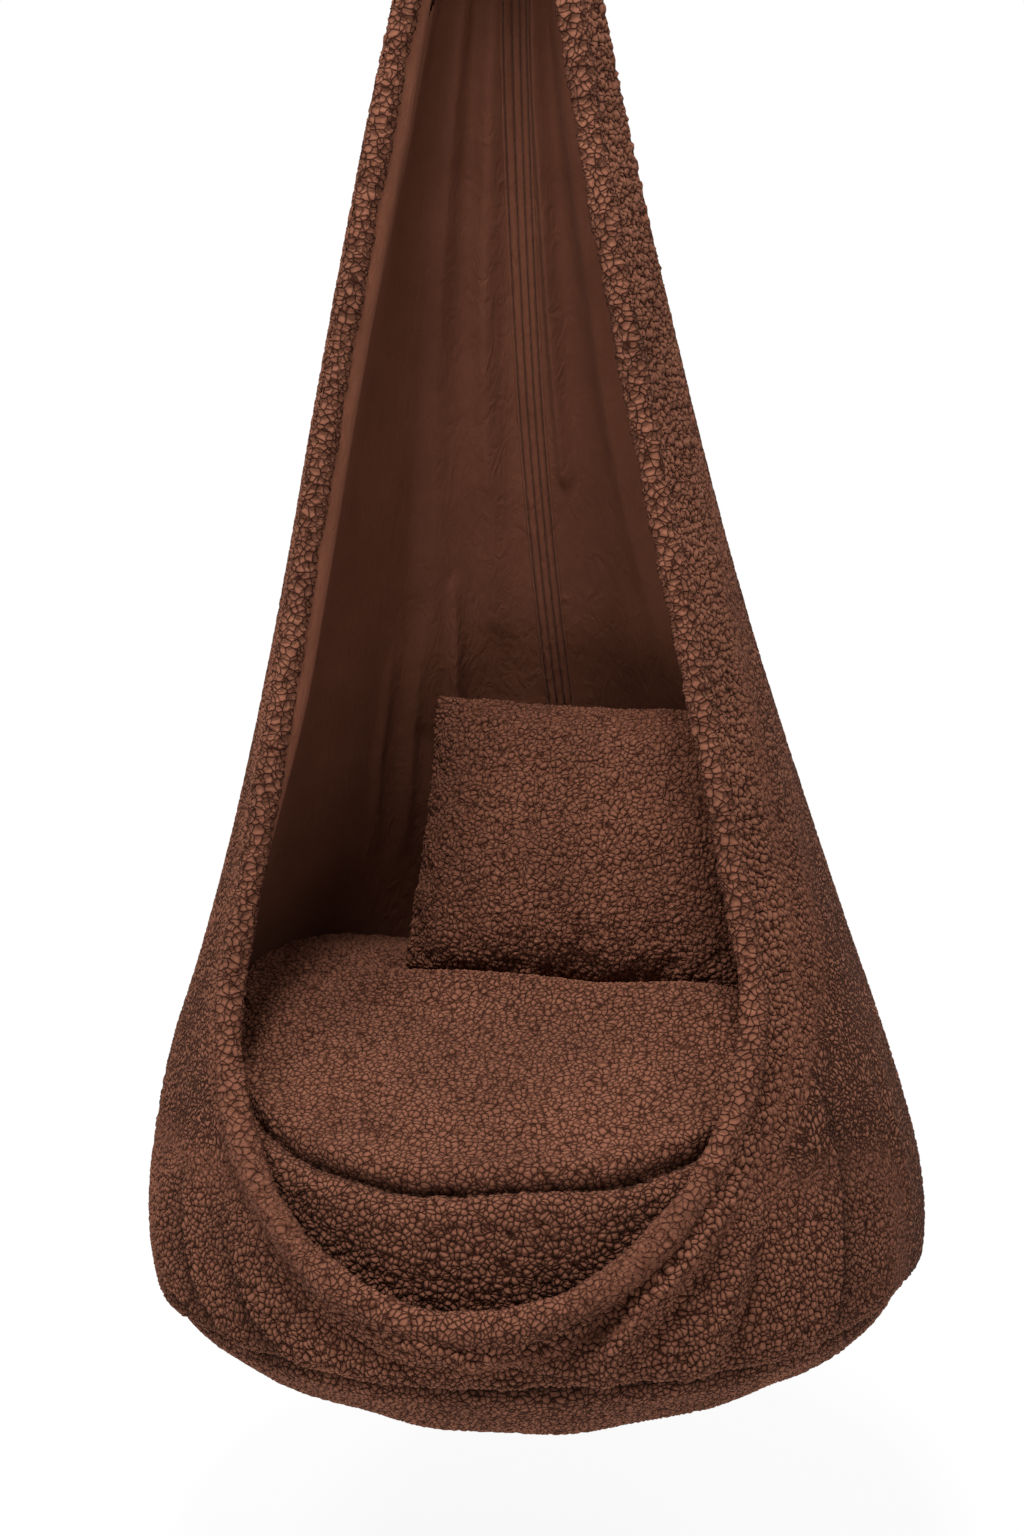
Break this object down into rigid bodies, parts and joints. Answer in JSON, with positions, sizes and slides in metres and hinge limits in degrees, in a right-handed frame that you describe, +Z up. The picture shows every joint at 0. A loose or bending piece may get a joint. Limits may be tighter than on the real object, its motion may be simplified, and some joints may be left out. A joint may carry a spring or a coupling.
{
  "type": "hanging pod chair",
  "caption": "Cone-shaped fleece pod chair with a teardrop opening, loose seat cushion and pillow, hung from a sling, snap hook and ball-bearing swivel.",
  "frame": {"origin": "centre of the bore in the swivel's upper eye, where the chair hangs", "axes": "+Z up, -Y out of the front opening, X across; bore of the upper eye along Y"},
  "size_m": [0.7674, 0.7678, 1.865],
  "materials": {
    "fleece": "curly pile",
    "lining": "smooth brushed cloth",
    "webbing": "woven",
    "fill": "loose fibre",
    "zip_tape": "woven tape",
    "zip_metal": "enamel",
    "steel": "zinc plated"
  },
  "bodies": {
    "ceiling_swivel": {"swivel_upper_eye": "steel", "swivel_housing": "steel", "swivel_balls": "steel"},
    "swivel_lower": {"swivel_lower_eye": "steel"},
    "hook": {"hook_body": "steel", "hook_pin": "steel"},
    "gate": {"hook_gate": "steel"},
    "pod": {"hanging_ring": "steel", "hanging_sling": "webbing", "neck_cap": "fleece", "outer_wall": "fleece", "lining_wall": "lining", "load_strap_long": "webbing", "load_strap_cross": "webbing", "back_seam_tape": "lining", "base_panel": "fleece", "base_lining": "lining", "rim_roll": "fleece", "rim_rope": "webbing", "seat_cover_top": "fleece", "seat_cover_side": "fleece", "seat_cover_bottom": "fleece", "seat_fill": "fill", "seat_zip": "zip_tape"},
    "pillow": {"pillow_front": "fleece", "pillow_back": "fleece", "pillow_fill": "fill", "pillow_zip": "zip_tape"},
    "seat_slider": {"seat_zip_slider": "zip_metal"},
    "pillow_slider": {"pillow_zip_slider": "zip_metal"}
  },
  "joints": [
    {"name": "swivel_spin", "type": "hinge", "parent": "ceiling_swivel", "child": "swivel_lower", "pos_m": [0, 0, 0], "axis": [0, 0, 1], "continuous": true},
    {"name": "fore_aft_swing", "type": "hinge", "parent": "swivel_lower", "child": "hook", "pos_m": [0, 0, -0.095], "axis": [1, 0, 0], "range_deg": [-30, 30]},
    {"name": "side_sway", "type": "hinge", "parent": "hook", "child": "pod", "pos_m": [0, 0, -0.1747], "axis": [0, 1, 0], "range_deg": [-30, 30]},
    {"name": "gate_open", "type": "hinge", "parent": "hook", "child": "gate", "pos_m": [0, 0.02, -0.1502], "axis": [1, 0, 0], "range_deg": [0, 24], "stiffness_Nm_per_rad": 0.2, "springref_deg": -17.19},
    {"name": "pillow_lift_out", "type": "slide", "parent": "pod", "child": "pillow", "axis": [-0.1386, -0.9852, 0.1003], "range_m": [0, 0.7]},
    {"name": "seat_zip_run", "type": "hinge", "parent": "pod", "child": "seat_slider", "pos_m": [0, -0.019, -1.59027], "axis": [0, 0.0133, 0.9999], "range_deg": [-76, 0]},
    {"name": "pillow_zip_run", "type": "hinge", "parent": "pillow", "child": "pillow_slider", "pos_m": [-0.037, -0.53447, -2.59144], "axis": [-0.1271, -0.8992, 0.4188], "range_deg": [0, 9.2]}
  ]
}
